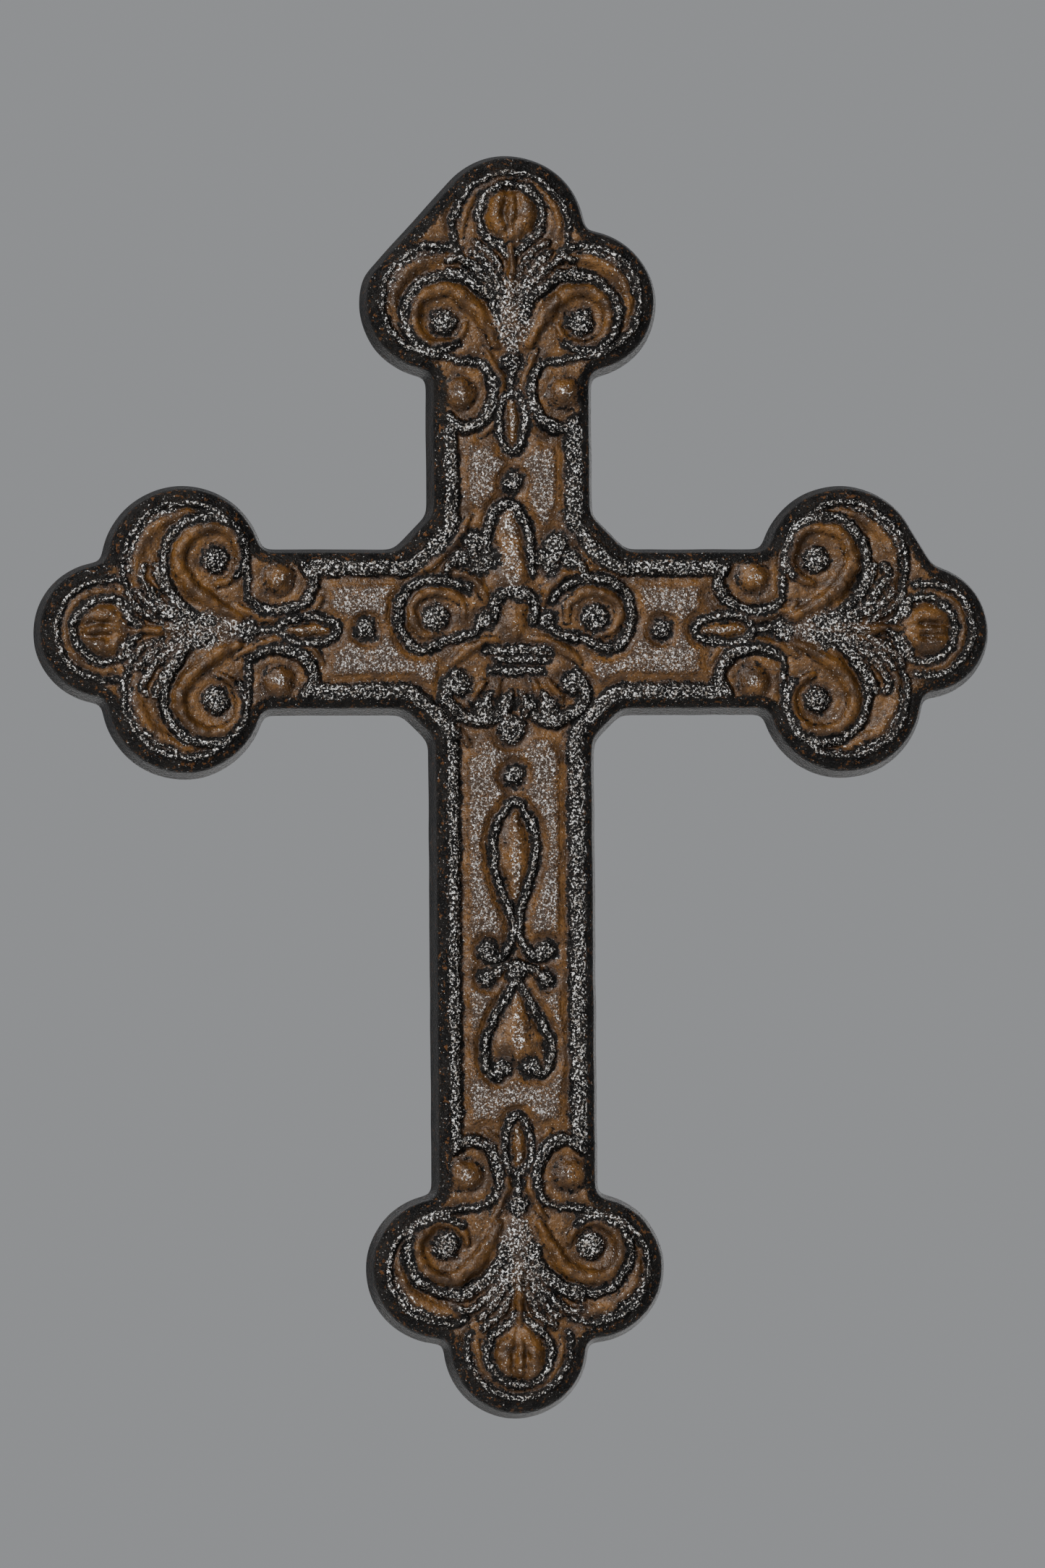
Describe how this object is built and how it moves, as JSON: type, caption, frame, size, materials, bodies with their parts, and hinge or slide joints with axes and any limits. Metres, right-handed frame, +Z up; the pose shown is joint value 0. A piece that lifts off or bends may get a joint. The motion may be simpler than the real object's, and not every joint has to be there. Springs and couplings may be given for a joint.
{
  "type": "wall cross",
  "caption": "Cast-iron wall cross with trefoil ends, raised scrolls and pearls on its face, and a flat back.",
  "frame": {"origin": "on the flat back, behind the point where the two bars cross, where the cross lies against the wall", "axes": "+Z up along the upright bar, +X along the level bar to the right as seen from the front, +Y out of the back into the wall; the face looks along -Y"},
  "size_m": [0.1595, 0.0088, 0.21],
  "materials": {
    "painted_iron": "brown paint wiped over black on rough sand-cast iron, bright grain on the high places"
  },
  "bodies": {
    "root": {"cross": "painted_iron"}
  },
  "joints": []
}
